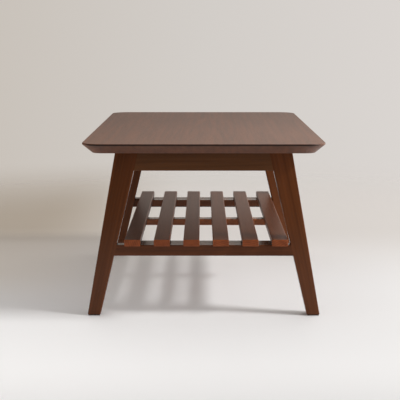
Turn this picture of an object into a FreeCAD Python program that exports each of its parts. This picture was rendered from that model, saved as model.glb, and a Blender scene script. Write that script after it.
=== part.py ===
# Coffee table with two splayed end frames, a bevelled top and a slatted lower shelf.
# Units are millimetres. +X runs across the table, +Y along it, +Z up.
# The origin is on the floor, under the middle of the table.
import FreeCAD
import Part
import Sketcher

import os

SIZES = {
    # Whole table
    "top_length": 1000.0,
    "top_width": 600.0,
    "table_height": 457.0,
    # Table top
    "top_thickness": 25.0,
    "top_corner_radius": 50.0,
    "top_lip": 4.6,
    "top_bevel_inset": 25.0,
    "top_arris": 1.6,
    # End frames, held by how far the top hangs over them
    "end_overhang": 107.0,
    "side_overhang": 77.0,
    "leg_splay": 77.0,
    "leg_depth": 38.0,
    "leg_top_width": 59.0,
    "leg_foot_width": 33.0,
    "leg_arris": 3.0,
    "foot_arris": 1.0,
    "apron_height": 54.0,
    "apron_thickness": 22.0,
    "apron_arris": 1.6,
    "stretcher_top_height": 186.0,
    "stretcher_height": 28.0,
    "stretcher_thickness": 30.0,
    "stretcher_arris": 1.6,
    # Side rails under the long edges of the top
    "rail_thickness": 20.0,
    "rail_setback": 6.0,
    "rail_arris": 1.6,
    # Slatted shelf
    "slat_count": 6.0,
    "slat_width": 41.0,
    "slat_thickness": 17.0,
    "slat_overhang": 16.0,
    "slat_arris": 2.4,
    "slat_end_arris": 1.0,
    "shelf_left_gap": 16.6,
    "shelf_right_gap": 4.0,
    "batten_width": 32.0,
    "batten_height": 18.0,
    "batten_arris": 1.2,
    # Blocks glued inside the frame, which carry the screws of the top
    "block_height": 40.0,
    "block_screw_inset": 13.0,
    "corner_block_length": 36.0,
    "corner_block_nose": 9.0,
    "middle_block_length": 70.0,
    "middle_block_depth": 26.0,
    # Foot pads
    "foot_pad_thickness": 3.0,
    "foot_pad_inset": 1.5,
    "foot_pad_arris": 0.8,
    # Tenons of the aprons and rails, and of the stretchers
    "tenon_thickness": 8.0,
    "tenon_shoulder": 8.0,
    "tenon_length": 20.0,
    "low_tenon_thickness": 10.0,
    "low_tenon_shoulder": 5.0,
    "low_tenon_length": 18.0,
    # Screws; they and their holes have few sides, which keeps their faces few
    "screw_sides": 12.0,
    "screw_radius": 2.0,
    "screw_head_radius": 4.0,
    "screw_slot_width": 1.0,
    "screw_slot_depth": 1.0,
    "slat_screw_bite": 12.0,
    "batten_screw_bite": 12.0,
    "batten_screw_offset": 11.0,
    "top_screw_bite": 14.0,
    # Fits
    "tenon_clearance": 0.1,
    "mortise_end_clearance": 0.8,
    "hole_clearance": 0.1,
    "hole_end_clearance": 0.5,
}

# Places worked out from the sizes
FRAME_TOP = "(Size.table_height - Size.top_thickness)"
FRAME_LENGTH = "(Size.top_length - 2 * Size.end_overhang)"
FRAME_HALF = f"({FRAME_LENGTH} / 2)"
LEG_TOP_REACH = "(Size.top_width / 2 - Size.side_overhang)"
LEG_FOOT_REACH = f"({LEG_TOP_REACH} + Size.leg_splay)"
LEG_RISE = f"({FRAME_TOP} - Size.foot_pad_thickness)"
APRON_BOTTOM = f"({FRAME_TOP} - Size.apron_height)"
APRON_MIDDLE = f"({FRAME_TOP} - Size.apron_height / 2)"
STRETCHER_BOTTOM = "(Size.stretcher_top_height - Size.stretcher_height)"
STRETCHER_MIDDLE = "(Size.stretcher_top_height - Size.stretcher_height / 2)"
BATTEN_BOTTOM = "(Size.stretcher_top_height - Size.batten_height)"
BATTEN_SCREW_HEIGHT = "(Size.stretcher_top_height - Size.batten_height / 2)"
BLOCK_BOTTOM = f"({FRAME_TOP} - Size.block_height)"
SLAT_TOP = "(Size.stretcher_top_height + Size.slat_thickness)"
RAIL_OUTER = f"({LEG_TOP_REACH} - Size.rail_setback)"
RAIL_INNER = f"({RAIL_OUTER} - Size.rail_thickness)"
RAIL_LENGTH = f"({FRAME_LENGTH} - 2 * Size.leg_depth)"
SLAT_LENGTH = f"({FRAME_LENGTH} + 2 * Size.slat_overhang)"
END_BATTEN_PLACE = f"({FRAME_HALF} - Size.stretcher_thickness - Size.batten_width / 2)"
BLOCK_SCREW_ACROSS = f"({RAIL_INNER} - Size.block_screw_inset)"
BLOCK_SCREW_ALONG = f"({FRAME_HALF} - Size.leg_depth - Size.block_screw_inset)"
SCREW_HEAD_DEPTH = "(Size.screw_head_radius - Size.screw_radius)"


def leg_inner(height):
    """The place across the table of a leg's inner face at a height."""
    top = f"({LEG_TOP_REACH} - Size.leg_top_width)"
    foot = f"({LEG_FOOT_REACH} - Size.leg_foot_width)"
    return f"({top} + ({foot} - {top}) * ({FRAME_TOP} - {height}) / {LEG_RISE})"


# The shelf fills the width between the legs, but for a gap at each side
SHELF_WIDTH = f"(2 * {leg_inner(SLAT_TOP)} - Size.shelf_left_gap - Size.shelf_right_gap)"
SHELF_MIDDLE = "((Size.shelf_left_gap - Size.shelf_right_gap) / 2)"
SLAT_PITCH = f"(({SHELF_WIDTH} - Size.slat_width) / (Size.slat_count - 1))"
# A batten's own two screws stand under the second slat from each side, beside its screw
BATTEN_SCREW_ROW = f"((Size.slat_count - 3) * {SLAT_PITCH} + 2 * Size.batten_screw_offset)"

ACROSS = FreeCAD.Vector(1, 0, 0)
ALONG = FreeCAD.Vector(0, 1, 0)
UP = FreeCAD.Vector(0, 0, 1)
# An edge runs along an axis when more than this share of its length does
LEAST_ALONG_SHARE = 0.9
# Two places are one when they are nearer than this
SAME_PLACE = 0.001
# The slope of a countersunk head's side from the screw's axis, in degrees
HEAD_SLOPE = 45.0

doc = FreeCAD.newDocument("coffee_table")
exported = []


def make_sheet():
    sheet = doc.addObject("Spreadsheet::Sheet", "Size")
    for row, (name, value) in enumerate(SIZES.items(), start=1):
        sheet.set(f"A{row}", name)
        sheet.set(f"B{row}", str(value))
        sheet.setAlias(f"B{row}", name)
    doc.recompute()


def place(part, across="0", along="0", up="0", turn=0.0):
    """Bind the place of a part; turn is in degrees about the vertical."""
    part.Placement = FreeCAD.Placement(
        FreeCAD.Vector(0, 0, 0), FreeCAD.Rotation(UP, turn)
    )
    part.setExpression(".Placement.Base.x", across)
    part.setExpression(".Placement.Base.y", along)
    part.setExpression(".Placement.Base.z", up)


def place_at_end(part, end):
    """Stand a part of an end frame at the front (-1) or, turned round, at the rear (+1)."""
    place(part, along=f"{end} * {FRAME_HALF}", turn=0.0 if end < 0 else 180.0)


def export(part):
    exported.append(part)
    return part


def new_body(label):
    body = doc.addObject("PartDesign::Body", label)
    body.Label = label
    return body


def new_sketch(body, plane, offset="0"):
    """A sketch on one of the body's own origin planes, moved along its normal by offset."""
    support = [f for f in body.Origin.OriginFeatures if f.Role == plane][0]
    sketch = body.newObject("Sketcher::SketchObject", f"{body.Label}_sketch")
    sketch.AttachmentSupport = (support, [""])
    sketch.MapMode = "FlatFace"
    sketch.setExpression(".AttachmentOffset.Base.z", offset)
    return sketch


def pin_point(sketch, line, end, across, up):
    """Hold one end or centre of a sketch curve at two formulas from the sketch origin."""
    for kind, formula in (("DistanceX", across), ("DistanceY", up)):
        distance = float(sketch.evalExpression(formula))
        index = sketch.addConstraint(Sketcher.Constraint(kind, -1, 1, line, end, distance))
        sketch.setExpression(f"Constraints[{index}]", formula)


def draw_polygon(sketch, corners):
    """A closed outline; each corner is a pair of formulas."""
    vector = FreeCAD.Vector
    count = len(corners)
    first = sketch.GeometryCount
    starts = [read_pair(sketch, corner) for corner in corners]
    for index in range(count):
        here = starts[index]
        there = starts[(index + 1) % count]
        sketch.addGeometry(Part.LineSegment(vector(*here, 0), vector(*there, 0)))
    for index in range(count):
        following = (index + 1) % count
        sketch.addConstraint(
            Sketcher.Constraint("Coincident", first + index, 2, first + following, 1)
        )
    for index, (across, up) in enumerate(corners):
        pin_point(sketch, first + index, 1, across, up)


def read_pair(sketch, pair):
    return [float(sketch.evalExpression(formula)) for formula in pair]


def draw_rectangle(sketch, left, bottom, right, top):
    draw_polygon(sketch, [(left, bottom), (right, bottom), (right, top), (left, top)])


def draw_ring(sketch, across, up, radius):
    """The few-sided outline of a screw or its hole."""
    sides = int(SIZES["screw_sides"])
    turns = [f"{360 * corner / sides}deg" for corner in range(sides)]
    corners = [
        (f"({across} + ({radius}) * cos({turn}))", f"({up} + ({radius}) * sin({turn}))")
        for turn in turns
    ]
    draw_polygon(sketch, corners)


def extrude(body, kind, sketch, length, backwards=False, taper=0.0):
    """A Pad or a Pocket of a sketch over a length; taper is in degrees."""
    feature = body.newObject(f"PartDesign::{kind}", f"{body.Label}_{kind}")
    feature.Profile = sketch
    feature.Type = "Length"
    feature.Reversed = backwards
    feature.TaperAngle = taper
    feature.setExpression("Length", length)
    sketch.Visibility = False
    body.Tip = feature
    doc.recompute()
    return feature


def dress(body, kind, wanted, size):
    """A Fillet or Chamfer on every edge of the body's tip that wanted() accepts."""
    base = body.Tip
    names = [f"Edge{i}" for i, edge in enumerate(base.Shape.Edges, start=1) if wanted(edge)]
    feature = body.newObject(f"PartDesign::{kind}", f"{body.Label}_{kind}")
    feature.Base = (base, names)
    feature.setExpression("Radius" if kind == "Fillet" else "Size", size)
    body.Tip = feature
    doc.recompute()
    return feature


def runs_along(axis):
    """Accept straight edges that run along an axis or, as a leg's do, nearly so."""
    def wanted(edge):
        if edge.Curve.TypeId != "Part::GeomLine":
            return False
        return abs(edge.Curve.Direction.dot(axis)) > LEAST_ALONG_SHARE
    return wanted


def lies_at(axis, places):
    """Accept edges that lie wholly in a plane across an axis, at one of the places."""
    def wanted(edge):
        first, last = edge.ParameterRange
        points = [edge.valueAt(step) for step in (first, (first + last) / 2, last)]
        return any(all(abs(point.dot(axis) - p) < SAME_PLACE for point in points) for p in places)
    return wanted


def hole_rims(axis, place_along):
    """Accept the short edges round the screw holes in a plane across an axis."""
    in_plane = lies_at(axis, [place_along])

    def wanted(edge):
        return in_plane(edge) and edge.Length < 2 * SIZES["screw_radius"]
    return wanted


def reach_of(body, axis):
    """The lowest and highest corner of the body's tip along an axis."""
    places = [corner.Point.dot(axis) for corner in body.Tip.Shape.Vertexes]
    return [min(places), max(places)]


def cut_mortise(body, plane, corners, start, depth, backwards=False):
    """A rectangular pocket for a tenon, wider than it by the clearance all round."""
    left, bottom, right, top = corners
    gap = "Size.tenon_clearance"
    sketch = new_sketch(body, plane, start)
    draw_rectangle(
        sketch, f"{left} - {gap}", f"{bottom} - {gap}", f"{right} + {gap}", f"{top} + {gap}"
    )
    return extrude(body, "Pocket", sketch, depth, backwards)


def drill(body, plane, centres, start, depth, backwards=False):
    """Holes for screws from a plane at start, each centre a pair of formulas."""
    sketch = new_sketch(body, plane, start)
    for across, up in centres:
        draw_ring(sketch, across, up, "Size.screw_radius + Size.hole_clearance")
    return extrude(body, "Pocket", sketch, depth, backwards)


def countersink(body, axis, place_along):
    """Slope the mouths of the screw holes in a plane across an axis, to seat the heads."""
    dress(body, "Chamfer", hole_rims(axis, place_along), SCREW_HEAD_DEPTH)


def repeat(body, feature, axis, length, count):
    """A row of a feature along one of the body's own origin axes."""
    row = body.newObject("PartDesign::LinearPattern", f"{body.Label}_row")
    row.Originals = [feature]
    row.Direction = ([f for f in body.Origin.OriginFeatures if f.Role == axis][0], [""])
    body.Tip = row
    row.setExpression("Length", length)
    row.setExpression("Occurrences", count)
    doc.recompute()


# Table top: a board with rounded corners, a thin upright lip and a deep bevel under it
def make_top():
    body = new_body("table_top")
    sketch = new_sketch(body, "XY_Plane")
    half_width = "Size.top_width / 2"
    half_length = "Size.top_length / 2"
    draw_rectangle(sketch, f"-{half_width}", f"-{half_length}", half_width, half_length)
    extrude(body, "Pad", sketch, "Size.top_thickness")
    dress(body, "Fillet", runs_along(UP), "Size.top_corner_radius")
    bevel = dress(body, "Chamfer", lies_at(UP, [0.0]), "Size.top_thickness - Size.top_lip")
    bevel.ChamferType = "Two distances"
    bevel.setExpression("Size2", "Size.top_bevel_inset")
    doc.recompute()
    dress(body, "Fillet", lies_at(UP, reach_of(body, UP)[1:]), "Size.top_arris")
    place(body, up=FRAME_TOP)
    front = [(f"{side} * {BLOCK_SCREW_ACROSS}", f"-{BLOCK_SCREW_ALONG}") for side in (-1, 1)]
    holes = drill(body, "XY_Plane", front, "0", "Size.top_screw_bite + Size.hole_end_clearance",
                  backwards=True)
    repeat(body, holes, "Y_Axis", f"2 * {BLOCK_SCREW_ALONG}", "3")
    return export(body)


def top_screw_places():
    """The screws of the top, at each corner block and at the middle of each long rail."""
    return [
        (f"{side} * {BLOCK_SCREW_ACROSS}", f"{step} * {BLOCK_SCREW_ALONG}")
        for side in (-1, 1)
        for step in (-1, 0, 1)
    ]


# Tenons: each outline is left, bottom, right and top, seen along the tenon
def cross_tenon(bottom, top, thickness, tenon_thickness, shoulder):
    """A cross piece's tenon, measured inward from the frame's outer face, and up."""
    return (
        f"({thickness} - {tenon_thickness}) / 2",
        f"{bottom} + {shoulder}",
        f"({thickness} + {tenon_thickness}) / 2",
        f"{top} - {shoulder}",
    )


def apron_tenon():
    return cross_tenon(APRON_BOTTOM, FRAME_TOP, "Size.apron_thickness",
                       "Size.tenon_thickness", "Size.tenon_shoulder")


def stretcher_tenon():
    return cross_tenon(STRETCHER_BOTTOM, "Size.stretcher_top_height", "Size.stretcher_thickness",
                       "Size.low_tenon_thickness", "Size.low_tenon_shoulder")


def rail_tenon():
    """The rail's tenon, across from the table's middle, and up."""
    middle = f"({RAIL_OUTER} - Size.rail_thickness / 2)"
    return (
        f"{middle} - Size.tenon_thickness / 2",
        f"{APRON_BOTTOM} + Size.tenon_shoulder",
        f"{middle} + Size.tenon_thickness / 2",
        f"{FRAME_TOP} - Size.tenon_shoulder",
    )


# Legs: splayed and tapered boards, with mortises for the apron, the stretcher and the rail
def keep_edge_square(body, side, bottom, top):
    """Fill a leg's rounded inner edge where a cross piece lies flush with its outer face."""
    sketch = new_sketch(body, "XZ_Plane")
    land = "2 * Size.leg_arris"
    draw_polygon(sketch, [
        (f"{side} * {leg_inner(bottom)}", bottom),
        (f"{side} * ({leg_inner(bottom)} + {land})", bottom),
        (f"{side} * ({leg_inner(top)} + {land})", top),
        (f"{side} * {leg_inner(top)}", top),
    ])
    extrude(body, "Pad", sketch, land, backwards=True)


def make_leg(label, side, end):
    """side is -1 or +1 across the frame as seen from outside its end of the table."""
    body = new_body(label)
    foot = "Size.foot_pad_thickness"
    outline = [
        (f"{side} * {leg_inner(FRAME_TOP)}", FRAME_TOP),
        (f"{side} * {LEG_TOP_REACH}", FRAME_TOP),
        (f"{side} * {LEG_FOOT_REACH}", foot),
        (f"{side} * {leg_inner(foot)}", foot),
    ]
    sketch = new_sketch(body, "XZ_Plane")
    draw_polygon(sketch, outline)
    extrude(body, "Pad", sketch, "Size.leg_depth", backwards=True)
    dress(body, "Fillet", runs_along(UP), "Size.leg_arris")
    dress(body, "Chamfer", lies_at(UP, reach_of(body, UP)[:1]), "Size.foot_arris")
    keep_edge_square(body, side, APRON_BOTTOM, FRAME_TOP)
    keep_edge_square(body, side, STRETCHER_BOTTOM, "Size.stretcher_top_height")
    cut_mortise(body, "YZ_Plane", apron_tenon(), "0",
                f"{leg_inner(APRON_MIDDLE)} + Size.tenon_length + Size.mortise_end_clearance",
                backwards=side > 0)
    cut_mortise(body, "YZ_Plane", stretcher_tenon(), "0",
                f"{leg_inner(STRETCHER_MIDDLE)} + Size.low_tenon_length"
                " + Size.mortise_end_clearance",
                backwards=side > 0)
    left, bottom, right, top = rail_tenon()
    if side < 0:
        left, right = f"-({right})", f"-({left})"
    cut_mortise(body, "XZ_Plane", (left, bottom, right, top), "-Size.leg_depth",
                "Size.tenon_length + Size.mortise_end_clearance", backwards=True)
    place_at_end(body, end)
    return export(body)


# Cross pieces of the end frames: their shoulders are cut to the splay of the legs
def make_cross_piece(label, end, bottom, top, thickness, arris, tenon, tenon_length):
    body = new_body(label)
    sketch = new_sketch(body, "XZ_Plane")
    outline = [
        (f"-{leg_inner(bottom)}", bottom),
        (leg_inner(bottom), bottom),
        (leg_inner(top), top),
        (f"-{leg_inner(top)}", top),
    ]
    draw_polygon(sketch, outline)
    extrude(body, "Pad", sketch, thickness, backwards=True)
    dress(body, "Fillet", runs_along(ACROSS), arris)
    sketch = new_sketch(body, "YZ_Plane")
    draw_rectangle(sketch, *tenon)
    middle = f"(({bottom} + {top}) / 2)"
    tenons = extrude(body, "Pad", sketch, f"2 * ({leg_inner(middle)} + {tenon_length})")
    tenons.SideType = "Symmetric"
    doc.recompute()
    place_at_end(body, end)
    return body


def make_apron(label, end):
    body = make_cross_piece(label, end, APRON_BOTTOM, FRAME_TOP, "Size.apron_thickness",
                            "Size.apron_arris", apron_tenon(), "Size.tenon_length")
    return export(body)


def make_stretcher(label, end):
    body = make_cross_piece(label, end, STRETCHER_BOTTOM, "Size.stretcher_top_height",
                            "Size.stretcher_thickness", "Size.stretcher_arris",
                            stretcher_tenon(), "Size.low_tenon_length")
    # The rear frame is turned round, so the shelf's middle lies on the other side there
    first = f"{-end} * {SHELF_MIDDLE} - {BATTEN_SCREW_ROW} / 2"
    holes = drill(body, "XZ_Plane", [(first, BATTEN_SCREW_HEIGHT)], "-Size.stretcher_thickness",
                  "Size.batten_screw_bite + Size.hole_end_clearance", backwards=True)
    repeat(body, holes, "X_Axis", BATTEN_SCREW_ROW, "2")
    return export(body)


# Long rails under the sides of the top, tenoned into the legs
def make_rail(label, side):
    body = new_body(label)
    sketch = new_sketch(body, "XZ_Plane")
    inner = RAIL_INNER if side > 0 else f"-{RAIL_OUTER}"
    outer = RAIL_OUTER if side > 0 else f"-{RAIL_INNER}"
    draw_rectangle(sketch, inner, APRON_BOTTOM, outer, FRAME_TOP)
    board = extrude(body, "Pad", sketch, RAIL_LENGTH)
    board.SideType = "Symmetric"
    doc.recompute()
    dress(body, "Fillet", runs_along(ALONG), "Size.rail_arris")
    left, bottom, right, top = rail_tenon()
    sketch = new_sketch(body, "XZ_Plane")
    draw_rectangle(sketch, f"{side} * ({left})", bottom, f"{side} * ({right})", top)
    tenons = extrude(body, "Pad", sketch, f"{RAIL_LENGTH} + 2 * Size.tenon_length")
    tenons.SideType = "Symmetric"
    doc.recompute()
    place(body)
    return export(body)


# Slats: rounded boards along the table
def slat_place(number):
    """The place of a slat across the table, counted from 1 at the left."""
    return f"({SHELF_MIDDLE} + ({number} - (Size.slat_count + 1) / 2) * {SLAT_PITCH})"


def batten_places():
    return [f"-{END_BATTEN_PLACE}", "0", END_BATTEN_PLACE]


def make_slat(number):
    body = new_body(f"slat_{number}")
    sketch = new_sketch(body, "XZ_Plane")
    half = "Size.slat_width / 2"
    draw_rectangle(sketch, f"-{half}", "0", half, "Size.slat_thickness")
    pad = extrude(body, "Pad", sketch, SLAT_LENGTH)
    pad.SideType = "Symmetric"
    doc.recompute()
    dress(body, "Fillet", runs_along(ALONG), "Size.slat_arris")
    dress(body, "Chamfer", lies_at(ALONG, reach_of(body, ALONG)), "Size.slat_end_arris")
    front = [("0", f"-{END_BATTEN_PLACE}")]
    holes = drill(body, "XY_Plane", front, "0", "Size.slat_screw_bite + Size.hole_end_clearance",
                  backwards=True)
    repeat(body, holes, "Y_Axis", f"2 * {END_BATTEN_PLACE}", "3")
    place(body, across=slat_place(number), up="Size.stretcher_top_height")
    return export(body)


# Battens: cross strips under the slats, screwed to them and, at the ends, to the stretchers
def make_batten(label, along, end):
    """end is -1 or +1 for a batten that is screwed to a stretcher, and 0 for the middle one."""
    body = new_body(label)
    sketch = new_sketch(body, "XZ_Plane")
    half = f"({SHELF_WIDTH} / 2)"
    draw_rectangle(sketch, f"-{half}", "0", half, "Size.batten_height")
    pad = extrude(body, "Pad", sketch, "Size.batten_width")
    pad.SideType = "Symmetric"
    doc.recompute()
    dress(body, "Fillet", runs_along(ACROSS), "Size.batten_arris")
    row = f"((Size.slat_count - 1) * {SLAT_PITCH})"
    holes = drill(body, "XY_Plane", [(f"-{row} / 2", "0")], "0", "Size.batten_height",
                  backwards=True)
    repeat(body, holes, "X_Axis", row, "Size.slat_count")
    countersink(body, UP, 0.0)
    if end:
        first = (f"-{BATTEN_SCREW_ROW} / 2", "Size.batten_height / 2")
        holes = drill(body, "XZ_Plane", [first], f"{end} * Size.batten_width / 2",
                      "Size.batten_width", backwards=end < 0)
        repeat(body, holes, "X_Axis", BATTEN_SCREW_ROW, "2")
        # The heads stand in the side that faces the middle of the table
        rear_side, front_side = reach_of(body, ALONG)
        countersink(body, ALONG, rear_side if end > 0 else front_side)
    place(body, across=SHELF_MIDDLE, along=along, up=BATTEN_BOTTOM)
    return export(body)


# Blocks glued in the frame's inner corners and to the middle of the rails
def make_corner_block(label, side, end):
    body = new_body(label)
    sketch = new_sketch(body, "XY_Plane")
    outer = f"{side} * {RAIL_INNER}"
    inner = f"{side} * ({RAIL_INNER} - Size.corner_block_length)"
    nose = f"{side} * ({RAIL_INNER} - Size.corner_block_nose)"
    near = "Size.leg_depth"
    far = "(Size.leg_depth + Size.corner_block_length)"
    near_nose = "(Size.leg_depth + Size.corner_block_nose)"
    draw_polygon(sketch, [(outer, near), (outer, far), (nose, far), (inner, near_nose), (inner, near)])
    extrude(body, "Pad", sketch, "Size.block_height")
    screw = (f"{side} * {BLOCK_SCREW_ACROSS}", "(Size.leg_depth + Size.block_screw_inset)")
    drill(body, "XY_Plane", [screw], "0", "Size.block_height", backwards=True)
    countersink(body, UP, 0.0)
    place_at_end(body, end)
    body.setExpression(".Placement.Base.z", BLOCK_BOTTOM)
    return export(body)


def make_middle_block(label, side):
    body = new_body(label)
    sketch = new_sketch(body, "XY_Plane")
    half = "Size.middle_block_length / 2"
    draw_rectangle(sketch, "0", f"-{half}", f"-{side} * Size.middle_block_depth", half)
    extrude(body, "Pad", sketch, "Size.block_height")
    screw = (f"-{side} * Size.block_screw_inset", "0")
    drill(body, "XY_Plane", [screw], "0", "Size.block_height", backwards=True)
    countersink(body, UP, 0.0)
    place(body, across=f"{side} * {RAIL_INNER}", up=BLOCK_BOTTOM)
    return export(body)


# Foot pads: thin blocks under the legs, a little smaller than the foot
def make_foot_pad(label, side, end):
    body = new_body(label)
    sketch = new_sketch(body, "XY_Plane")
    across = "(Size.leg_foot_width / 2 - Size.foot_pad_inset)"
    along = "(Size.leg_depth / 2 - Size.foot_pad_inset)"
    draw_rectangle(sketch, f"-{across}", f"-{along}", across, along)
    extrude(body, "Pad", sketch, "Size.foot_pad_thickness")
    dress(body, "Chamfer", lies_at(UP, reach_of(body, UP)[:1]), "Size.foot_pad_arris")
    place(body, across=f"{side} * ({LEG_FOOT_REACH} - Size.leg_foot_width / 2)",
          along=f"{end} * ({FRAME_HALF} - Size.leg_depth / 2)")
    return export(body)


# Screws: one of each is drawn lying along +X, and linked wherever it is used
def make_screw(name, length):
    """A countersunk screw from its slotted head at the origin to its end along +X."""
    body = new_body(name)
    shank = new_sketch(body, "YZ_Plane")
    draw_ring(shank, "0", "0", "Size.screw_radius")
    extrude(body, "Pad", shank, length)
    head = new_sketch(body, "YZ_Plane")
    draw_ring(head, "0", "0", "Size.screw_head_radius")
    extrude(body, "Pad", head, SCREW_HEAD_DEPTH, taper=-HEAD_SLOPE)
    slot = new_sketch(body, "YZ_Plane")
    half = "(Size.screw_slot_width / 2)"
    reach = "Size.screw_head_radius"
    draw_rectangle(slot, f"-{half}", f"-{reach}", half, reach)
    extrude(body, "Pocket", slot, "Size.screw_slot_depth", backwards=True)
    return body


def group_copies(label, source, places, direction):
    """One node of separate copies of a fastener, each with its +X turned to a direction."""
    links = []
    for number, (across, along, up, sign) in enumerate(places, start=1):
        link = doc.addObject("App::Link", f"{label}_{number}")
        link.LinkedObject = source
        link.Placement = FreeCAD.Placement(
            FreeCAD.Vector(0, 0, 0), FreeCAD.Rotation(ACROSS, direction * sign)
        )
        link.setExpression(".Placement.Base.x", across)
        link.setExpression(".Placement.Base.y", along)
        link.setExpression(".Placement.Base.z", up)
        links.append(link)
    group = doc.addObject("Part::Compound", label)
    group.Label = label
    group.Links = links
    doc.recompute()
    return export(group)


def make_screws():
    slat_screw = make_screw("slat_screw", "Size.batten_height + Size.slat_screw_bite")
    batten_screw = make_screw("batten_screw", "Size.batten_width + Size.batten_screw_bite")
    top_screw = make_screw("top_screw", "Size.block_height + Size.top_screw_bite")
    count = int(SIZES["slat_count"])
    slat_places = [
        (slat_place(n), along, BATTEN_BOTTOM, 1)
        for along in batten_places()
        for n in range(1, count + 1)
    ]
    batten_screw_places = [
        (f"{SHELF_MIDDLE} + {side} * {BATTEN_SCREW_ROW} / 2",
         f"{end} * ({END_BATTEN_PLACE} - Size.batten_width / 2)", BATTEN_SCREW_HEIGHT, end)
        for end in (-1, 1)
        for side in (-1, 1)
    ]
    top_places = [(across, along, BLOCK_BOTTOM, 1) for across, along in top_screw_places()]
    group_copies("slat_screws", slat_screw, slat_places, UP)
    group_copies("batten_screws", batten_screw, batten_screw_places, ALONG)
    group_copies("top_screws", top_screw, top_places, UP)


def check_and_write():
    doc.recompute()
    for item in doc.Objects:
        bad = [s for s in item.State if s in ("Invalid", "Error")]
        if bad:
            raise RuntimeError(f"{item.Label} is {bad}")
    os.makedirs("parts", exist_ok=True)
    for item in exported:
        if item.Shape.isNull() or not item.Shape.isValid():
            raise RuntimeError(f"{item.Label} has no valid shape")
        item.Shape.exportStep(f"parts/{item.Label}.step")
        box = item.Shape.BoundBox
        print(f"{item.Label}: {len(item.Shape.Solids)} solids, "
              f"{box.XLength:.1f} x {box.YLength:.1f} x {box.ZLength:.1f}")


def main():
    make_sheet()
    make_top()
    # A frame's right side, seen from outside, is +X at the front and -X at the rear
    make_leg("leg_front_left", -1, -1)
    make_leg("leg_front_right", 1, -1)
    make_leg("leg_rear_right", -1, 1)
    make_leg("leg_rear_left", 1, 1)
    for name, end in (("front", -1), ("rear", 1)):
        make_apron(f"apron_{name}", end)
        make_stretcher(f"stretcher_{name}", end)
        for side_name, side in (("left", -1), ("right", 1)):
            make_corner_block(f"corner_block_{name}_{side_name}", -side * end, end)
            make_foot_pad(f"foot_pad_{name}_{side_name}", side, end)
    for side_name, side in (("left", -1), ("right", 1)):
        make_rail(f"rail_{side_name}", side)
        make_middle_block(f"middle_block_{side_name}", side)
    for number in range(1, int(SIZES["slat_count"]) + 1):
        make_slat(number)
    for name, along, end in zip(("front", "middle", "rear"), batten_places(), (-1, 0, 1)):
        make_batten(f"batten_{name}", along, end)
    make_screws()
    check_and_write()


main()
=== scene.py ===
import math
from dataclasses import dataclass, replace

import bpy
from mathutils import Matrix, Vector


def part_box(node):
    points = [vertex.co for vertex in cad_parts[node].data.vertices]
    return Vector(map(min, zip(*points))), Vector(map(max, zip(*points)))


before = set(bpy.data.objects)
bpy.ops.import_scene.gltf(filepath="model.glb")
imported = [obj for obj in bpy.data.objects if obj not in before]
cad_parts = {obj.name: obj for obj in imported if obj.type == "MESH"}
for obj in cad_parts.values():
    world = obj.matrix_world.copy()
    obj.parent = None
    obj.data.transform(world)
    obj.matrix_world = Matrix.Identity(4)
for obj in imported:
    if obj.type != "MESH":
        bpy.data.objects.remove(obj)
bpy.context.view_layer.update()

# Coffee table in dark stained wood. Units are metres, in the frame of the model:
# +X to the right, +Y away from the camera, +Z up, with the floor at zero.

AXIS_X = Vector((1, 0, 0))
AXIS_Y = Vector((0, 1, 0))

# Camera, fitted to the photograph, with its angles in radians
IMAGE_WIDTH_PX = 400
FOCAL_LENGTH_PX = 1064
SENSOR_WIDTH_MM = 36.0
CAMERA_PLACE = (-0.0040, -3.063, 0.7346)
CAMERA_PITCH = 0.1602
CAMERA_YAW = 0.0020
CAMERA_NEAR = 0.05
CAMERA_FAR = 60.0


# Shader nodes
def add_node(tree, kind, inputs=None, **settings):
    """A shader node; an input is a number, a colour or another node's output socket."""
    made = tree.nodes.new(kind)
    for name, value in settings.items():
        setattr(made, name, value)
    for name, value in (inputs or {}).items():
        feed(tree, made.inputs[name], value)
    return made


def feed(tree, socket, value):
    """Link an output socket to an input, or set the input to a plain value."""
    if isinstance(value, bpy.types.NodeSocket):
        tree.links.new(value, socket)
    else:
        socket.default_value = value


def math_node(tree, operation, first, second=0.0, third=0.0):
    made = add_node(tree, "ShaderNodeMath", {0: first, 1: second, 2: third}, operation=operation)
    return made.outputs["Value"]


def vector_node(tree, operation, first, second=(0, 0, 0), output="Vector"):
    made = add_node(tree, "ShaderNodeVectorMath", {0: first, 1: second}, operation=operation)
    return made.outputs[output]


def scale_colour(tree, colour, factor):
    made = add_node(tree, "ShaderNodeVectorMath", {0: colour, "Scale": factor}, operation="SCALE")
    return made.outputs["Vector"]


def noise_node(tree, place, scale, detail=2.0, roughness=0.5):
    """Noise stretched by a scale along each axis, in cycles per metre."""
    stretched = vector_node(tree, "MULTIPLY", place, scale)
    return add_node(tree, "ShaderNodeTexNoise", {
        "Vector": stretched, "Scale": 1.0, "Detail": detail, "Roughness": roughness,
    })


def range_node(tree, value, low, high, to_low=0.0, to_high=1.0):
    """A smooth step of a value from one range to another."""
    made = add_node(tree, "ShaderNodeMapRange", {
        "Value": value, "From Min": low, "From Max": high, "To Min": to_low, "To Max": to_high,
    }, interpolation_type="SMOOTHSTEP")
    return made.outputs["Result"]


def mix_colours(tree, share, first, second, blend="MIX"):
    """From the first colour to the second; its sockets have several kinds under one name."""
    made = add_node(tree, "ShaderNodeMix", data_type="RGBA", blend_type=blend)
    for identifier, value in (("Factor_Float", share), ("A_Color", first), ("B_Color", second)):
        feed(tree, next(s for s in made.inputs if s.identifier == identifier), value)
    return next(s for s in made.outputs if s.identifier == "Result_Color")


def add_bump(tree, shader, height, depth, strength):
    bump = add_node(tree, "ShaderNodeBump", {
        "Height": height, "Distance": depth, "Strength": strength,
    })
    tree.links.new(bump.outputs["Normal"], shader.inputs["Normal"])


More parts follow.
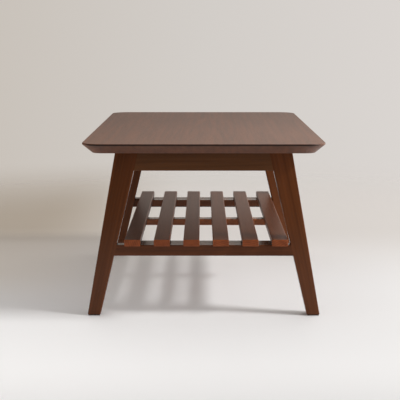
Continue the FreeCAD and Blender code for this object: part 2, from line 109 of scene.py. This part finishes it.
def srgb(red, green, blue):
    """A colour given as the 0 to 255 values that a screen shows, as linear light."""
    def linear(value):
        # The curve of the sRGB standard
        share = value / 255
        return share / 12.92 if share <= 0.04045 else ((share + 0.055) / 1.055) ** 2.4
    return (linear(red), linear(green), linear(blue), 1.0)


def new_material(name):
    """A material with an empty Principled shader, and its tree."""
    material = bpy.data.materials.new(name)
    material.use_nodes = True
    tree = material.node_tree
    tree.nodes.clear()
    shader = tree.nodes.new("ShaderNodeBsdfPrincipled")
    output = tree.nodes.new("ShaderNodeOutputMaterial")
    tree.links.new(shader.outputs["BSDF"], output.inputs["Surface"])
    return material, tree, shader


# Wood: one solid pattern for the faces, the edges and the end grain of a board

# Growth rings stand round the pith of the log; late wood comes in slowly and ends sharply
RING_WIDTH = 0.0052
RING_WANDER = 0.010
LATE_WOOD_RISE_SHARES = (0.15, 0.85)
LATE_WOOD_FALL_SHARES = (1.0, 0.9)
# Cycles per metre, along the grain and in the two directions across it
WANDER_SCALE = (1.6, 9.0, 9.0)
STREAK_SCALE = (2.5, 85.0, 85.0)
FIBRE_SCALE = (22.0, 900.0, 900.0)
PORE_SCALE = (85.0, 1700.0, 1700.0)
# The levels of the noise between which a streak or a pore comes in
STREAK_LEVELS = (0.30, 0.70)
PORE_LEVELS = (0.60, 0.72)
# How far each pattern takes the colour toward the dark one
STREAK_DARK_SHARE = 0.50
LATE_WOOD_DARK_SHARE = 0.16
FIBRE_DARK_SHARE = 0.30
# How much of a pore's colour shows, and that colour as a share of the dark one
PORE_SHARE = 0.45
PORE_COLOUR_SHARE = 0.45
# End grain: its tone, the change in late wood and in streaks, and the cosines of a face to
# the grain between which it comes in
END_TONE = 1.25
END_LATE_WOOD_TONE = -0.35
END_STREAK_TONE = -0.30
END_COSINES = (0.45, 0.95)
# What fibres and pores add to the roughness, and the relief that they leave in the lacquer
FIBRE_ROUGHNESS = 0.10
PORE_ROUGHNESS = 0.12
PORE_DEPTH = 0.00010
FIBRE_HEIGHT_SHARE = 0.35
WOOD_BUMP_STRENGTH = 0.5
# Toward the front right end of the table the colour is painted paler, as painted light, and the
# finish is less rough
PAINTED_LIGHT_END = Vector((0.5, -0.86, 0))
PAINTED_LIGHT_REACH = 0.5
PAINTED_LIGHT_END_ROUGHNESS = -0.15
# Rounded edges are painted paler in patches, as painted highlights; they face an axis less squarely
# than the flat faces
EDGE_HIGHLIGHT_PALENESS = 1.9
FLAT_COSINE = 0.97
ROUNDED_COSINE = 0.85
PATCH_SCALE = (14.0, 14.0, 14.0)
PATCH_LEVELS = (0.30, 0.65)
LEAST_PATCH_SHARE = 0.3


@dataclass
class Finish:
    """One kind of stained wood.

    light, dark and end are the colours along the grain and of the end grain. Paleness scales
    the colour. The end gain raises the paleness toward the front right end, as painted light,
    and the edge gain raises it on the rounded edges, as painted highlights.
    """
    light: tuple
    dark: tuple
    end: tuple
    roughness: float
    ior: float
    contrast: float = 1.0
    paleness: float = 1.0
    end_light_gain: float = 0.0
    edge_highlight: float = 0.0


# The top is painted paler toward its front right end, as painted light
TOP_FINISH = Finish(
    light=srgb(109, 62, 35), dark=srgb(70, 39, 21), end=srgb(38, 21, 13),
    roughness=0.42, ior=1.50, end_light_gain=0.20,
)
FRAME_FINISH = Finish(
    light=srgb(98, 54, 27), dark=srgb(70, 37, 16), end=srgb(90, 49, 27),
    roughness=0.20, ior=1.28, contrast=0.9, edge_highlight=0.20,
)
APRON_FINISH = Finish(
    light=srgb(97, 61, 36), dark=srgb(67, 41, 23), end=srgb(90, 55, 32),
    roughness=0.20, ior=1.29, contrast=0.9, edge_highlight=0.20,
)
STRETCHER_FINISH = Finish(
    light=srgb(89, 48, 24), dark=srgb(62, 32, 14), end=srgb(86, 46, 25),
    roughness=0.14, ior=1.28, edge_highlight=0.20,
)
# The middle batten is painted paler, as painted light
PAINTED_LIGHT_BATTEN_FINISH = Finish(
    light=srgb(142, 82, 46), dark=srgb(104, 56, 29), end=srgb(110, 60, 34),
    roughness=0.16, ior=1.30, edge_highlight=0.20,
)
SLAT_FINISH = Finish(
    light=srgb(101, 56, 32), dark=srgb(82, 44, 23), end=srgb(123, 63, 33),
    roughness=0.37, ior=1.26, edge_highlight=0.55,
)
BLOCK_FINISH = Finish(
    light=srgb(176, 138, 100), dark=srgb(146, 108, 74), end=srgb(158, 118, 82),
    roughness=0.75, ior=1.4, contrast=0.9,
)


@dataclass
class Pattern:
    """The patterns of a board, each an output socket that runs from 0 to 1."""
    late_wood: bpy.types.NodeSocket
    streak: bpy.types.NodeSocket
    fibre: bpy.types.NodeSocket
    pore: bpy.types.NodeSocket


def log_coordinates(tree, grain, from_pith, along_log):
    """Coordinates with the grain along X and the pith of the log on the X axis.

    from_pith is how far the table's origin lies from the pith in the two directions across
    the grain, and along_log gives each board a stretch of the log to itself.
    """
    turn = grain.rotation_difference(AXIS_X).to_euler()
    coordinates = add_node(tree, "ShaderNodeTexCoord")
    turned = add_node(tree, "ShaderNodeMapping", {
        "Vector": coordinates.outputs["Object"], "Rotation": turn,
    }, vector_type="POINT")
    return vector_node(tree, "ADD", turned.outputs["Vector"], (along_log, *from_pith))


def wood_pattern(tree, place):
    """The rings, streaks, fibres and pores at a place in the log."""
    wander = noise_node(tree, place, WANDER_SCALE, detail=3.0)
    shift = vector_node(tree, "SUBTRACT", wander.outputs["Color"], (0.5, 0.5, 0.5))
    shift = vector_node(tree, "MULTIPLY", shift, (0.0, RING_WANDER, RING_WANDER))
    wandering = vector_node(tree, "ADD", place, shift)
    across = vector_node(tree, "MULTIPLY", wandering, (0, 1, 1))
    radius = vector_node(tree, "LENGTH", across, output="Value")
    ring = math_node(tree, "FRACT", math_node(tree, "DIVIDE", radius, RING_WIDTH))
    rise = range_node(tree, ring, *LATE_WOOD_RISE_SHARES)
    fall = range_node(tree, ring, *LATE_WOOD_FALL_SHARES)
    streaks = noise_node(tree, wandering, STREAK_SCALE, detail=4.0, roughness=0.55)
    fibres = noise_node(tree, place, FIBRE_SCALE, detail=2.0, roughness=0.6)
    pores = noise_node(tree, place, PORE_SCALE, detail=1.0)
    return Pattern(
        late_wood=math_node(tree, "MULTIPLY", rise, fall),
        streak=range_node(tree, streaks.outputs["Fac"], *STREAK_LEVELS),
        fibre=fibres.outputs["Fac"],
        pore=range_node(tree, pores.outputs["Fac"], *PORE_LEVELS),
    )


def end_grain_share(tree, grain):
    """One on faces across the grain, nothing on faces along it, and some on slanting ones."""
    coordinates = add_node(tree, "ShaderNodeTexCoord")
    facing = vector_node(tree, "DOT_PRODUCT", coordinates.outputs["Normal"], grain, "Value")
    return range_node(tree, math_node(tree, "ABSOLUTE", facing), *END_COSINES)


def painted_end_light_share(tree, end_light_gain):
    """From minus to plus the end gain along the table, toward the front right end, where light is
    painted.
    """
    coordinates = add_node(tree, "ShaderNodeTexCoord")
    toward = vector_node(tree, "DOT_PRODUCT", coordinates.outputs["Object"], PAINTED_LIGHT_END, "Value")
    return range_node(tree, toward, -PAINTED_LIGHT_REACH, PAINTED_LIGHT_REACH, -end_light_gain, end_light_gain)


def edge_highlight_share(tree, edge_highlight):
    """The painted highlight on the rounded edges, in patches, and nothing on the flat faces."""
    coordinates = add_node(tree, "ShaderNodeTexCoord")
    facing = vector_node(tree, "ABSOLUTE", coordinates.outputs["Normal"])
    parts = add_node(tree, "ShaderNodeSeparateXYZ", {"Vector": facing}).outputs
    squarest = math_node(tree, "MAXIMUM", parts["Y"], parts["Z"])
    squarest = math_node(tree, "MAXIMUM", parts["X"], squarest)
    rounded = range_node(tree, squarest, FLAT_COSINE, ROUNDED_COSINE)
    patches = noise_node(tree, coordinates.outputs["Object"], PATCH_SCALE, detail=3.0)
    patch = range_node(
        tree, patches.outputs["Fac"], *PATCH_LEVELS, LEAST_PATCH_SHARE * edge_highlight, edge_highlight
    )
    return math_node(tree, "MULTIPLY", rounded, patch)


def long_grain_colour(tree, finish, pattern):
    """The stain, between its light and its dark colour."""
    contrast = finish.contrast
    tone = math_node(tree, "MULTIPLY", pattern.streak, STREAK_DARK_SHARE * contrast)
    tone = math_node(tree, "MULTIPLY_ADD", pattern.late_wood, LATE_WOOD_DARK_SHARE * contrast, tone)
    tone = math_node(tree, "MULTIPLY_ADD", pattern.fibre, FIBRE_DARK_SHARE * contrast, tone)
    colour = mix_colours(tree, tone, finish.light, finish.dark)
    return scale_colour(tree, colour, finish.paleness)


def end_grain_colour(tree, finish, pattern):
    """The end grain, darker in late wood and in streaks."""
    tone = math_node(tree, "MULTIPLY_ADD", pattern.late_wood, END_LATE_WOOD_TONE, END_TONE)
    tone = math_node(tree, "MULTIPLY_ADD", pattern.streak, END_STREAK_TONE, tone)
    return scale_colour(tree, finish.end[:3], tone)


def grain_and_painted_light_colour(tree, finish, pattern, grain, end_light):
    """The colour with its end grain and pores, painted paler toward the front right end and on the
    rounded edges, as painted light and highlights.
    """
    colour = mix_colours(
        tree, end_grain_share(tree, grain),
        long_grain_colour(tree, finish, pattern), end_grain_colour(tree, finish, pattern),
    )
    in_pore = tuple(PORE_COLOUR_SHARE * channel for channel in finish.dark[:3]) + (1.0,)
    pore_share = math_node(tree, "MULTIPLY", pattern.pore, PORE_SHARE)
    colour = mix_colours(tree, pore_share, colour, in_pore)
    # Paler in patches on the rounded edges: painted highlights
    highlit_edges = edge_highlight_share(tree, finish.edge_highlight)
    paleness = math_node(tree, "MULTIPLY_ADD", highlit_edges, EDGE_HIGHLIGHT_PALENESS, 1.0)
    # Paler toward the front right end: painted light
    paleness = math_node(tree, "ADD", paleness, end_light)
    return scale_colour(tree, colour, paleness)


def worn_roughness(tree, finish, pattern, end_light):
    """The finish's roughness, which the fibres shift both ways and the pores raise, and which falls
    toward the front right end.
    """
    middle = finish.roughness - FIBRE_ROUGHNESS / 2
    roughness = math_node(tree, "MULTIPLY_ADD", pattern.fibre, FIBRE_ROUGHNESS, middle)
    roughness = math_node(tree, "MULTIPLY_ADD", pattern.pore, PORE_ROUGHNESS, roughness)
    return math_node(tree, "MULTIPLY_ADD", end_light, PAINTED_LIGHT_END_ROUGHNESS, roughness)


def make_wood(name, finish, grain, from_pith, along_log):
    """Stained and lacquered wood; grain is the direction of the fibres in the board."""
    material, tree, shader = new_material(name)
    grain = grain.normalized()
    pattern = wood_pattern(tree, log_coordinates(tree, grain, from_pith, along_log))
    end_light = painted_end_light_share(tree, finish.end_light_gain)
    colour = grain_and_painted_light_colour(tree, finish, pattern, grain, end_light)
    tree.links.new(colour, shader.inputs["Base Color"])
    tree.links.new(worn_roughness(tree, finish, pattern, end_light), shader.inputs["Roughness"])
    shader.inputs["IOR"].default_value = finish.ior
    height = math_node(tree, "MULTIPLY", pattern.fibre, FIBRE_HEIGHT_SHARE)
    height = math_node(tree, "SUBTRACT", height, pattern.pore)
    add_bump(tree, shader, height, PORE_DEPTH, WOOD_BUMP_STRENGTH)
    return material


# Steel and plastic
@dataclass
class Surface:
    """A coarse pattern shifts the colour and the roughness, and a fine one makes the relief.

    The scales are in cycles per metre.
    """
    dark: tuple
    light: tuple
    coarse_scale: float
    coarse_detail: float
    roughness: float
    coarse_roughness: float
    fine_scale: float
    fine_detail: float
    relief_depth: float
    relief_strength: float


STEEL = Surface(
    dark=srgb(176, 172, 164), light=srgb(206, 203, 197), coarse_scale=260.0, coarse_detail=3.0,
    roughness=0.22, coarse_roughness=0.20,
    fine_scale=2600.0, fine_detail=2.0, relief_depth=0.00003, relief_strength=0.4,
)
PAD_PLASTIC = Surface(
    dark=srgb(36, 28, 24), light=srgb(58, 48, 42), coarse_scale=90.0, coarse_detail=4.0,
    roughness=0.50, coarse_roughness=0.22,
    fine_scale=2200.0, fine_detail=3.0, relief_depth=0.00006, relief_strength=0.5,
)


def dress_shader(tree, shader, surface):
    """Give a shader the colour, the roughness and the relief of a surface."""
    place = add_node(tree, "ShaderNodeTexCoord").outputs["Object"]
    coarse = noise_node(tree, place, (surface.coarse_scale,) * 3, surface.coarse_detail)
    coarse = coarse.outputs["Fac"]
    colour = mix_colours(tree, coarse, surface.dark, surface.light)
    tree.links.new(colour, shader.inputs["Base Color"])
    roughness = math_node(
        tree, "MULTIPLY_ADD", coarse, surface.coarse_roughness, surface.roughness
    )
    tree.links.new(roughness, shader.inputs["Roughness"])
    fine = noise_node(tree, place, (surface.fine_scale,) * 3, surface.fine_detail)
    add_bump(tree, shader, fine.outputs["Fac"], surface.relief_depth, surface.relief_strength)


def make_steel(name):
    """Zinc plated steel with a dull film and fine marks."""
    material, tree, shader = new_material(name)
    dress_shader(tree, shader, STEEL)
    shader.inputs["Metallic"].default_value = 1.0
    return material


def make_pad_plastic(name):
    """Dark brown moulded plastic with a fine matt texture."""
    material, tree, shader = new_material(name)
    dress_shader(tree, shader, PAD_PLASTIC)
    return material


# Eased edges, where the model has sharp ones
SAME_POINT = 0.00002
EASE_STEPS = 3
SHARP_ANGLE = math.radians(28)
BOARD_EASE = 0.0005
TOP_EASE = 0.0008
SMALL_PIECE_EASE = 0.0003
SCREW_EASE = 0.0001


def ease_edges(node, width):
    """Round the edges that the model leaves sharp, as sanding does."""
    weld = node.modifiers.new("weld", "WELD")
    weld.merge_threshold = SAME_POINT
    bevel = node.modifiers.new("ease", "BEVEL")
    bevel.width = width
    bevel.segments = EASE_STEPS
    bevel.limit_method = "ANGLE"
    bevel.angle_limit = SHARP_ANGLE
    bevel.harden_normals = True
    bevel.miter_outer = "MITER_ARC"


def dress(node_name, material, ease=BOARD_EASE):
    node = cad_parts[node_name]
    node.data.materials.clear()
    node.data.materials.append(material)
    ease_edges(node, ease)


# The table top: its grain climbs and drifts a little, as in a flat sawn board
TOP_GRAIN = AXIS_Y + Vector((0.012, 0, 0.018))
TOP_FROM_PITH = (0.02, -0.62)
TOP_ALONG_LOG = 0.0


def dress_top():
    wood = make_wood("top_wood_board", TOP_FINISH, TOP_GRAIN, TOP_FROM_PITH, TOP_ALONG_LOG)
    dress("table_top", wood, TOP_EASE)


# The frame: each piece is sawn from its own stretch of the log, a step further along it
LEG_GRAIN_DRIFT = Vector((0, 0.004, 0))
LEG_FROM_PITH_ALONG = 0.07
LEG_FROM_PITH_ACROSS = 0.05
CROSS_PIECE_GRAIN = AXIS_X + Vector((0, 0.01, 0.006))
APRON_FROM_PITH = (0.06, -0.5)
STRETCHER_FROM_PITH = (0.09, -0.5)
RAIL_GRAIN = AXIS_Y + Vector((0, 0, 0.008))
RAIL_FROM_PITH = (0.05, -0.32)
FRAME_ALONG_LOG = 3.0
LEG_LOG_STEP = 3.7
CROSS_PIECE_LOG_STEP = 2.9
RAIL_LOG_STEP = 2.3
# How each leg has taken the stain; the rear right leg is also painted paler, as painted light
LEG_STAIN_AND_LIGHT_PALENESS = {"front_left": 0.90, "front_right": 1.02, "rear_left": 0.95, "rear_right": 1.45}


def middle_at(node, height):
    """The middle of a node, across the table, at a height where it has corners."""
    corners = [corner.co for corner in node.data.vertices]
    across = [corner.x for corner in corners if abs(corner.z - height) < SAME_POINT]
    return Vector(((min(across) + max(across)) / 2, 0, height))


def leg_grain(name):
    """The fibres of a leg run from the middle of its foot to the middle of its top."""
    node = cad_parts[name]
    low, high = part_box(name)
    return middle_at(node, high[2]) - middle_at(node, low[2]) + LEG_GRAIN_DRIFT


def dress_leg(end, side, sign, along_log):
    finish = replace(FRAME_FINISH, paleness=LEG_STAIN_AND_LIGHT_PALENESS[f"{end}_{side}"])
    name = f"leg_{end}_{side}"
    from_pith = (LEG_FROM_PITH_ALONG, LEG_FROM_PITH_ACROSS * sign)
    wood = make_wood(f"{name}_wood", finish, leg_grain(name), from_pith, along_log)
    dress(name, wood)


def dress_frame():
    along_log = FRAME_ALONG_LOG
    for end in ("front", "rear"):
        for side, sign in (("left", -1), ("right", 1)):
            dress_leg(end, side, sign, along_log)
            along_log += LEG_LOG_STEP
        for piece, finish, from_pith in (
            ("apron", APRON_FINISH, APRON_FROM_PITH),
            ("stretcher", STRETCHER_FINISH, STRETCHER_FROM_PITH),
        ):
            name = f"{piece}_{end}"
            wood = make_wood(f"{name}_wood", finish, CROSS_PIECE_GRAIN, from_pith, along_log)
            dress(name, wood)
            along_log += CROSS_PIECE_LOG_STEP
    for side in ("left", "right"):
        name = f"rail_{side}"
        wood = make_wood(f"{name}_wood", FRAME_FINISH, RAIL_GRAIN, RAIL_FROM_PITH, along_log)
        dress(name, wood)
        along_log += RAIL_LOG_STEP


# The shelf: six slats, painted paler or darker one by one as painted light and shade, from left to
# right
SLAT_PAINTED_LIGHT_PALENESS = (0.78, 1.10, 1.20, 0.84, 0.90, 1.04)
SLAT_GRAIN_DRIFT = 0.004
SLAT_GRAIN_CLIMB = 0.006
# From one slat to the next the distances from the pith change by a step
SLAT_FROM_PITH = (0.0, -0.24)
SLAT_PITH_STEP = (0.02, -0.015)
BATTEN_FROM_PITH = (0.09, -0.25)
# The rear batten is painted paler, as painted light
REAR_BATTEN_PAINTED_LIGHT = 1.7
SHELF_ALONG_LOG = 40.0
SLAT_LOG_STEP = 1.9
BATTEN_LOG_STEP = 2.7


def dress_slat(number, paleness, along_log):
    # From slat to slat the grain runs straight, drifts to the right and drifts to the left
    drift = SLAT_GRAIN_DRIFT * (number % 3 - 1)
    grain = AXIS_Y + Vector((drift, 0, SLAT_GRAIN_CLIMB))
    from_pith = [start + step * number for start, step in zip(SLAT_FROM_PITH, SLAT_PITH_STEP)]
    finish = replace(SLAT_FINISH, paleness=paleness)
    name = f"slat_{number}"
    dress(name, make_wood(f"{name}_wood", finish, grain, from_pith, along_log))


def dress_shelf():
    along_log = SHELF_ALONG_LOG
    for number, paleness in enumerate(SLAT_PAINTED_LIGHT_PALENESS, 1):
        dress_slat(number, paleness, along_log)
        along_log += SLAT_LOG_STEP
    for place, finish in (
        ("front", STRETCHER_FINISH),
        ("middle", PAINTED_LIGHT_BATTEN_FINISH),
        ("rear", replace(STRETCHER_FINISH, paleness=REAR_BATTEN_PAINTED_LIGHT)),
    ):
        name = f"batten_{place}"
        wood = make_wood(f"{name}_wood", finish, AXIS_X, BATTEN_FROM_PITH, along_log)
        dress(name, wood, SMALL_PIECE_EASE)
        along_log += BATTEN_LOG_STEP


# Glue blocks of unstained wood, screws and foot pads
BLOCK_FROM_PITH = (0.08, -0.45)
BLOCK_ALONG_LOG = 70.0


def dress_small_pieces():
    block = make_wood("glue_block_wood", BLOCK_FINISH, AXIS_Y, BLOCK_FROM_PITH, BLOCK_ALONG_LOG)
    steel = make_steel("plated_steel")
    plastic = make_pad_plastic("pad_plastic_matt")
    for side in ("left", "right"):
        dress(f"middle_block_{side}", block)
        for end in ("front", "rear"):
            dress(f"corner_block_{end}_{side}", block)
            dress(f"foot_pad_{end}_{side}", plastic, SMALL_PIECE_EASE)
    for name in ("slat_screws", "batten_screws", "top_screws"):
        dress(name, steel, SCREW_EASE)


# Floor: pale paint that fades into the colour of the wall, with painted shade at its left and dark
# paint in front of the table as painted shade
FLOOR_HALF = 9.0
FLOOR_LEFT_COLOUR = srgb(251, 251, 251)
FLOOR_RIGHT_COLOUR = srgb(237, 237, 237)
FLOOR_FAR_COLOUR = srgb(211, 207, 203)
FLOOR_SHADE_COLOUR = srgb(178, 171, 162)
FLOOR_WARM_SHADE_TINT = (0.93, 0.88, 0.81, 1.0)
FLOOR_FRONT_SHADE_COLOUR = srgb(96, 92, 88)
FLOOR_MOTTLE_SCALE = (6.0, 6.0, 6.0)
FLOOR_ROUGHNESS = 0.75
FLOOR_MOTTLE_ROUGHNESS = 0.1
FLOOR_SPECULAR = 0.1
# Places across or along the floor between which each colour comes in
FLOOR_RIGHT_ACROSS = (-0.5, 0.5)
FLOOR_FAR_ALONG = (-0.2, 0.85)
FLOOR_FRONT_SHADE_ALONG = (-0.75, -1.95)
FLOOR_SHADE_ALONG = (0.50, 0.85)
FLOOR_SHADE_ACROSS = (-0.05, -0.65)
FLOOR_WARM_SHADE_ALONG = (-0.40, 0.15)
# Distances from the middle between which the floor ends, for all rays and for the camera's
FLOOR_EDGE = (2.6, 4.2)
FLOOR_SEEN_EDGE = (1.2, 3.0)


def floor_colour(tree, place):
    parts = add_node(tree, "ShaderNodeSeparateXYZ", {"Vector": place}).outputs
    across = parts["X"]
    along = parts["Y"]
    to_right = range_node(tree, across, *FLOOR_RIGHT_ACROSS)
    colour = mix_colours(tree, to_right, FLOOR_LEFT_COLOUR, FLOOR_RIGHT_COLOUR)
    far = range_node(tree, along, *FLOOR_FAR_ALONG)
    colour = mix_colours(tree, far, colour, FLOOR_FAR_COLOUR)
    # Painted shade at the back left of the floor
    to_left = range_node(tree, across, *FLOOR_SHADE_ACROSS)
    shade = math_node(tree, "MULTIPLY", range_node(tree, along, *FLOOR_SHADE_ALONG), to_left)
    colour = mix_colours(tree, shade, colour, FLOOR_SHADE_COLOUR)
    # Painted shade: the floor to the left is darkened and warmed
    warm_shade = math_node(tree, "MULTIPLY", range_node(tree, along, *FLOOR_WARM_SHADE_ALONG), to_left)
    colour = mix_colours(tree, warm_shade, colour, FLOOR_WARM_SHADE_TINT, "MULTIPLY")
    # Painted shade: dark paint in front of the table stands in for the shaded room there
    front = range_node(tree, along, *FLOOR_FRONT_SHADE_ALONG)
    return mix_colours(tree, front, colour, FLOOR_FRONT_SHADE_COLOUR)


def floor_clearness(tree, place):
    """One far from the table, and for the camera also nearer and from below."""
    distance = vector_node(tree, "LENGTH", place, output="Value")
    below = add_node(tree, "ShaderNodeNewGeometry").outputs["Backfacing"]
    by_camera = add_node(tree, "ShaderNodeLightPath").outputs["Is Camera Ray"]
    unseen = math_node(tree, "MAXIMUM", below, range_node(tree, distance, *FLOOR_SEEN_EDGE))
    unseen = math_node(tree, "MULTIPLY", unseen, by_camera)
    return math_node(tree, "MAXIMUM", range_node(tree, distance, *FLOOR_EDGE), unseen)


def make_floor_paint(name):
    material, tree, shader = new_material(name)
    place = add_node(tree, "ShaderNodeTexCoord").outputs["Object"]
    tree.links.new(floor_colour(tree, place), shader.inputs["Base Color"])
    mottle = noise_node(tree, place, FLOOR_MOTTLE_SCALE, detail=4.0).outputs["Fac"]
    roughness = math_node(tree, "MULTIPLY_ADD", mottle, FLOOR_MOTTLE_ROUGHNESS, FLOOR_ROUGHNESS)
    tree.links.new(roughness, shader.inputs["Roughness"])
    shader.inputs["Specular IOR Level"].default_value = FLOOR_SPECULAR
    nothing = add_node(tree, "ShaderNodeBsdfTransparent")
    mixed = add_node(tree, "ShaderNodeMixShader", {
        0: floor_clearness(tree, place), 1: shader.outputs["BSDF"], 2: nothing.outputs["BSDF"],
    })
    output = next(n for n in tree.nodes if n.type == "OUTPUT_MATERIAL")
    tree.links.new(mixed.outputs["Shader"], output.inputs["Surface"])
    return material


def make_floor():
    half = FLOOR_HALF
    corners = [(-half, -half, 0), (half, -half, 0), (half, half, 0), (-half, half, 0)]
    mesh = bpy.data.meshes.new("floor")
    mesh.from_pydata(corners, [], [(0, 1, 2, 3)])
    mesh.materials.append(make_floor_paint("floor_paint"))
    floor = bpy.data.objects.new("floor", mesh)
    bpy.context.scene.collection.objects.link(floor)


# World: soft light, strongest low down and to the right and weaker behind the camera
WORLD_COLOUR = (1.0, 0.965, 0.94, 1.0)
WORLD_LIGHT = 1.17
DARK_SIDE_LIGHT_SHARE = 0.45
LOW_LIGHT = 2.05
HIGH_LIGHT = 0.18
RIGHT_GAIN = 0.20
# The wall that the camera and reflections see in its place, from the left (-1) to the right (1)
WALL_TONES = (
    (-1.0, (118, 110, 102)), (-0.19, (201, 194, 186)), (0.0, (210, 205, 200)),
    (0.19, (218, 213, 209)), (1.0, (246, 243, 240)),
)
# Reflections see it warmer, weaker behind the camera and brighter to the right
GLOSS_TINT = (0.97, 0.90, 0.85, 1.0)
DARK_SIDE_GLOSS_SHARE = 0.22
GLOSS_RIGHT_GAIN = 1.5
# The parts of a direction along +Y between which the dark side gives way
LIGHT_SIDE_PARTS = (-0.7, 0.4)
GLOSS_SIDE_PARTS = (-0.6, 0.3)


def world_light(tree, parts):
    """The strength of the light from a direction, given as its parts along the axes."""
    dark_side = DARK_SIDE_LIGHT_SHARE * WORLD_LIGHT
    light = range_node(tree, parts["Y"], *LIGHT_SIDE_PARTS, dark_side, WORLD_LIGHT)
    # Its upward part runs from 0 at the horizon to 1 straight up
    by_height = range_node(tree, parts["Z"], 0.0, 1.0, LOW_LIGHT, HIGH_LIGHT)
    by_side = math_node(tree, "MULTIPLY_ADD", parts["X"], RIGHT_GAIN, 1.0)
    light = math_node(tree, "MULTIPLY", light, by_height)
    return math_node(tree, "MULTIPLY", light, by_side)


def wall_colour(tree, parts):
    """The tones of the wall, with its left at 0 on the ramp and its right at 1."""
    ramp = add_node(tree, "ShaderNodeValToRGB", {
        "Fac": math_node(tree, "MULTIPLY_ADD", parts["X"], 0.5, 0.5),
    })
    stops = ramp.color_ramp.elements
    while len(stops) < len(WALL_TONES):
        stops.new(0.5)
    for stop, (place, tone) in zip(stops, WALL_TONES):
        stop.position = 0.5 + place / 2
        stop.color = srgb(*tone)
    return ramp.outputs["Color"]


def reflected_colour(tree, parts, wall):
    """The wall as the table reflects it."""
    gloss = range_node(tree, parts["Y"], *GLOSS_SIDE_PARTS, DARK_SIDE_GLOSS_SHARE, 1.0)
    by_side = math_node(tree, "MULTIPLY_ADD", parts["X"], GLOSS_RIGHT_GAIN, 1.0)
    by_side = math_node(tree, "MAXIMUM", by_side, 0.0)
    gloss = math_node(tree, "MULTIPLY", gloss, by_side)
    return scale_colour(tree, mix_colours(tree, 1.0, wall, GLOSS_TINT, "MULTIPLY"), gloss)


def make_world():
    """Soft light, and a wall where the camera or a reflection sees the world."""
    world = bpy.data.worlds.new("studio")
    bpy.context.scene.world = world
    world.use_nodes = True
    tree = world.node_tree
    tree.nodes.clear()
    direction = add_node(tree, "ShaderNodeTexCoord").outputs["Generated"]
    parts = add_node(tree, "ShaderNodeSeparateXYZ", {"Vector": direction}).outputs
    path = add_node(tree, "ShaderNodeLightPath").outputs
    glossy = path["Is Glossy Ray"]
    wall = wall_colour(tree, parts)
    seen_colour = mix_colours(tree, glossy, wall, reflected_colour(tree, parts, wall))
    seen = add_node(tree, "ShaderNodeBackground", {"Color": seen_colour, "Strength": 1.0})
    light = add_node(tree, "ShaderNodeBackground", {
        "Color": WORLD_COLOUR, "Strength": world_light(tree, parts),
    })
    is_seen = math_node(tree, "MAXIMUM", path["Is Camera Ray"], glossy)
    is_seen = math_node(tree, "MAXIMUM", is_seen, path["Is Transmission Ray"])
    mixed = add_node(tree, "ShaderNodeMixShader", {
        0: is_seen, 1: light.outputs["Background"], 2: seen.outputs["Background"],
    })
    output = add_node(tree, "ShaderNodeOutputWorld")
    tree.links.new(mixed.outputs["Shader"], output.inputs["Surface"])


# Key lamp: wide and soft, from the right and from above, with its power in watts
KEY_PLACE = Vector((6.0, -1.8, 5.4))
KEY_WIDTH = 1.8
KEY_HEIGHT = 0.75
KEY_POWER = 405.0
KEY_TARGET = Vector((0, 0, 0.2))


def make_key_lamp():
    lamp = bpy.data.lights.new("key", "AREA")
    lamp.shape = "RECTANGLE"
    lamp.size = KEY_WIDTH
    lamp.size_y = KEY_HEIGHT
    lamp.energy = KEY_POWER
    holder = bpy.data.objects.new("key", lamp)
    holder.location = KEY_PLACE
    holder.rotation_euler = (KEY_TARGET - KEY_PLACE).to_track_quat("-Z", "Y").to_euler()
    bpy.context.scene.collection.objects.link(holder)


def make_camera():
    camera = bpy.data.cameras.new("camera")
    camera.sensor_width = SENSOR_WIDTH_MM
    camera.lens = FOCAL_LENGTH_PX * SENSOR_WIDTH_MM / IMAGE_WIDTH_PX
    camera.clip_start = CAMERA_NEAR
    camera.clip_end = CAMERA_FAR
    holder = bpy.data.objects.new("camera", camera)
    holder.location = CAMERA_PLACE
    holder.rotation_euler = (math.pi / 2 - CAMERA_PITCH, 0, CAMERA_YAW)
    bpy.context.scene.collection.objects.link(holder)
    bpy.context.scene.camera = holder


def make_stage():
    make_floor()
    make_world()
    make_key_lamp()
    make_camera()
    bpy.context.scene.view_settings.view_transform = "Standard"


dress_top()
dress_frame()
dress_shelf()
dress_small_pieces()
make_stage()
